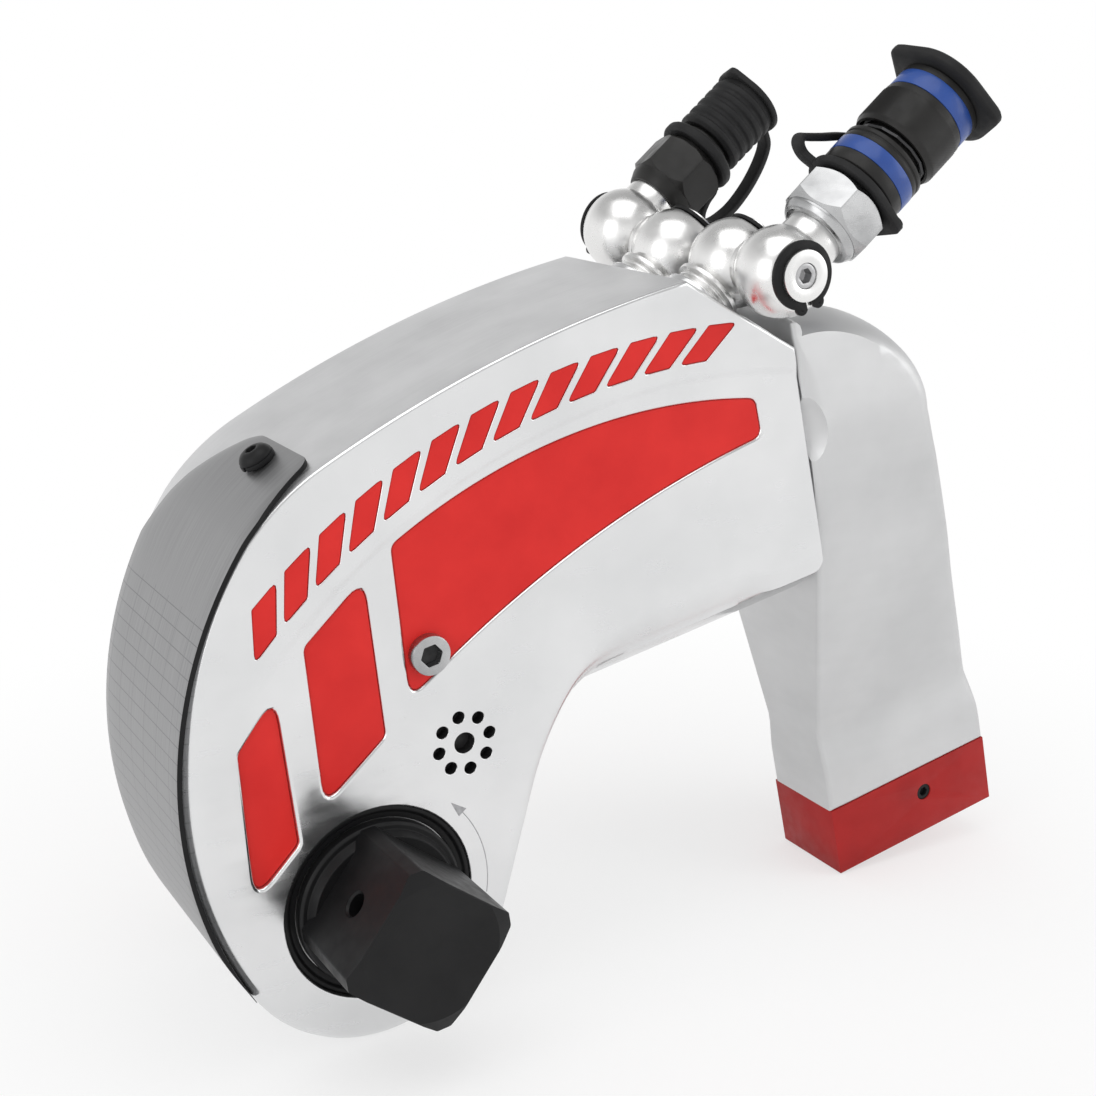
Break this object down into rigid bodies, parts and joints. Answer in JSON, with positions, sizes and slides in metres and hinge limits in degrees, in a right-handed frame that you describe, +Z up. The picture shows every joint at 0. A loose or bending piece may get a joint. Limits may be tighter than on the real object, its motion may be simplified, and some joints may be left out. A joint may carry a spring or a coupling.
{
  "type": "hydraulic torque wrench",
  "caption": "Square-drive hydraulic torque wrench: curved body with a ratchet head, a cylinder, a splined reaction arm with a foot pad and swivelling hose couplers.",
  "frame": {"origin": "on the drive axis, at the middle of the body's width", "axes": "+Z up as the tool stands on its round head and its foot, -Y along the square drive, +X toward the reaction arm"},
  "size_m": [0.3083, 0.1248, 0.281],
  "materials": {
    "polished_aluminium": "polished",
    "cover_sheet": "brushed",
    "black_oxide": "satin",
    "red_enamel": "gloss",
    "red_paint": "satin",
    "satin_nickel": "satin",
    "bright_zinc": "bright",
    "bare_steel": "machined",
    "spring_steel": "drawn",
    "bronze": "machined",
    "seal_rubber": "matte",
    "cap_rubber": "matte",
    "blue_band": "satin"
  },
  "bodies": {
    "housing": {"housing": "polished_aluminium", "back_cover": "cover_sheet", "cover_screw": "black_oxide", "cover_washer": "black_oxide", "side_inlays": "red_enamel", "side_screws": "bright_zinc", "drive_bushes": "black_oxide", "rod_gland": "bronze", "rod_seal": "seal_rubber", "end_plug": "bare_steel", "end_plug_seal": "seal_rubber", "swivel_posts": "satin_nickel", "post_clips": "black_oxide", "reaction_pawl_spring": "spring_steel"},
    "holding_pawl": {"reaction_pawl": "bare_steel"},
    "drive": {"ratchet_wheel": "bare_steel", "square_drive": "black_oxide", "drive_retainer": "black_oxide", "retainer_spring": "spring_steel"},
    "release_button": {"retainer_button": "red_paint"},
    "drive_lever": {"crank_plates": "bare_steel", "crank_pin": "bare_steel", "pawl_pins": "bare_steel"},
    "driving_pawl": {"drive_pawl": "bare_steel"},
    "ram": {"piston": "bare_steel", "piston_rod": "bare_steel", "piston_nut": "bare_steel", "piston_seal": "seal_rubber"},
    "arm": {"reaction_arm": "polished_aluminium", "reaction_foot": "red_paint", "foot_screws": "black_oxide"},
    "front_swivel": {"front_swivel": "satin_nickel", "front_clip": "black_oxide", "front_plug": "bare_steel"},
    "front_coupler": {"front_outer_ball": "satin_nickel", "front_adapter": "bright_zinc", "coupler_body": "black_oxide", "body_band": "blue_band", "sleeve_spring": "spring_steel", "front_tether_ring": "cap_rubber", "front_strap": "cap_rubber"},
    "sleeve": {"coupler_sleeve": "black_oxide", "sleeve_band": "blue_band"},
    "front_cap": {"front_dust_cap": "cap_rubber"},
    "rear_swivel": {"rear_swivel": "satin_nickel", "rear_clip": "black_oxide", "rear_plug": "bare_steel"},
    "rear_coupler": {"rear_outer_ball": "satin_nickel", "rear_nipple": "black_oxide", "rear_tether_ring": "cap_rubber", "rear_strap": "cap_rubber"},
    "rear_cap": {"rear_dust_cap": "cap_rubber"}
  },
  "joints": [
    {"name": "ram_stroke", "type": "slide", "parent": "housing", "child": "ram", "axis": [-0.9778, 0, -0.2096], "range_m": [0, 0.03791]},
    {"name": "lever_swing", "type": "hinge", "parent": "housing", "child": "drive_lever", "pos_m": [0, 0, 0], "axis": [0, -1, 0], "range_deg": [0, 30]},
    {"name": "driving_pawl_lift", "type": "slide", "parent": "drive_lever", "child": "driving_pawl", "axis": [-0.0506, 0, -0.9987], "range_m": [0, 0.0016]},
    {"name": "holding_pawl_lift", "type": "slide", "parent": "housing", "child": "holding_pawl", "axis": [-0.7976, 0, -0.6032], "range_m": [0, 0.0016], "stiffness_N_per_m": 300, "springref_m": 0.0016, "deforming": ["reaction_pawl_spring"]},
    {"name": "drive_turn", "type": "hinge", "parent": "housing", "child": "drive", "pos_m": [0, 0, 0], "axis": [0, -1, 0], "continuous": true},
    {"name": "release_push", "type": "slide", "parent": "drive", "child": "release_button", "axis": [0, -1, 0], "range_m": [0, 0.0026], "stiffness_N_per_m": 1200, "deforming": ["retainer_spring"]},
    {"name": "arm_slide", "type": "slide", "parent": "housing", "child": "arm", "axis": [0.9778, 0, 0.2096], "range_m": [0, 0.031]},
    {"name": "front_post_turn", "type": "hinge", "parent": "housing", "child": "front_swivel", "pos_m": [0.13136, -0.01665, 0.17298], "axis": [0.7649, 0, 0.6441], "range_deg": [-15, 15]},
    {"name": "front_coupler_tilt", "type": "hinge", "parent": "front_swivel", "child": "front_coupler", "pos_m": [0.13136, -0.041, 0.17298], "axis": [0, 1, 0], "range_deg": [-60, 20]},
    {"name": "sleeve_pull", "type": "slide", "parent": "front_coupler", "child": "sleeve", "axis": [-0.7649, 0, -0.6441], "range_m": [0, 0.003], "stiffness_N_per_m": 1000, "deforming": ["sleeve_spring"]},
    {"name": "front_cap_pull", "type": "slide", "parent": "front_coupler", "child": "front_cap", "axis": [0.7649, 0, 0.6441], "range_m": [0, 0.014], "deforming": ["front_strap"]},
    {"name": "rear_post_turn", "type": "hinge", "parent": "housing", "child": "rear_swivel", "pos_m": [0.13136, 0.01665, 0.17298], "axis": [0.7649, 0, 0.6441], "range_deg": [-25, 10]},
    {"name": "rear_coupler_tilt", "type": "hinge", "parent": "rear_swivel", "child": "rear_coupler", "pos_m": [0.1273, 0.04017, 0.1778], "axis": [-0.1667, 0.9659, 0.198], "range_deg": [-60, 20]},
    {"name": "rear_cap_pull", "type": "slide", "parent": "rear_coupler", "child": "rear_cap", "axis": [0.7649, 0, 0.6441], "range_m": [0, 0.022], "deforming": ["rear_strap"]}
  ],
  "couplings": [
    {"joint": "lever_swing", "follows": "ram_stroke", "rad_per_m": 13.809}
  ]
}
